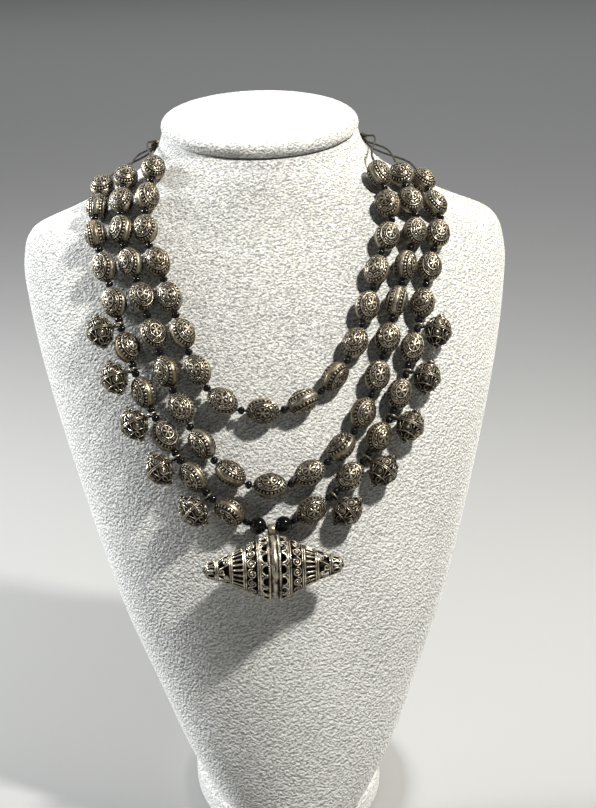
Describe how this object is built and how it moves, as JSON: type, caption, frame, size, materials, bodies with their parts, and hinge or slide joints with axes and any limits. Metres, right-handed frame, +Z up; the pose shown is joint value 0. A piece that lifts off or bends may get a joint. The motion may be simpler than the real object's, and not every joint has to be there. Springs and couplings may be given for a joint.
{
  "type": "multi-strand bead necklace on a neck bust",
  "caption": "Graduated strands of oxidised silver olive beads with pierced drops and a horizontal bicone pendant, laid on a plain velvet neck bust.",
  "frame": {"origin": "on the floor, under the middle of the whole object's box", "axes": "+Z up, -Y out of the front of the bust, +X to the right in the picture"},
  "size_m": [0.264, 0.2368, 0.3613],
  "materials": {
    "velvet": "short plush",
    "silver": "oxidised, polished on the raised parts",
    "black_bead": "polished",
    "thread": "waxed",
    "cord": "twisted"
  },
  "bodies": {
    "bust": {"bust_form": "velvet", "bust_cap": "velvet", "bust_foot": "velvet", "inner_beads": "silver", "inner_spacers": "black_bead", "inner_thread": "thread", "middle_beads": "silver", "middle_spacers_left": "black_bead", "middle_spacers_right": "black_bead", "middle_thread": "thread", "outer_beads_left": "silver", "outer_beads_right": "silver", "outer_spacers_left": "black_bead", "outer_spacers_right": "black_bead", "outer_thread": "thread", "lower_spacers_left": "black_bead", "lower_spacers_right": "black_bead", "drop_left_1": "silver", "drop_left_2": "silver", "drop_left_3": "silver", "drop_left_4": "silver", "drop_left_5": "silver", "drop_right_1": "silver", "drop_right_2": "silver", "drop_right_3": "silver", "drop_right_4": "silver", "drop_right_5": "silver", "pendant_beads": "black_bead", "cord_end_left": "silver", "cord_end_right": "silver", "neck_cord_left": "cord", "neck_cord_right": "cord", "clasp": "silver"},
    "pendant": {"pendant": "silver"}
  },
  "joints": [
    {"name": "pendant_swing", "type": "hinge", "parent": "bust", "child": "pendant", "pos_m": [-0.0073, -0.08642, 0.1632], "axis": [-1, 0, 0], "range_deg": [0, 60]}
  ]
}
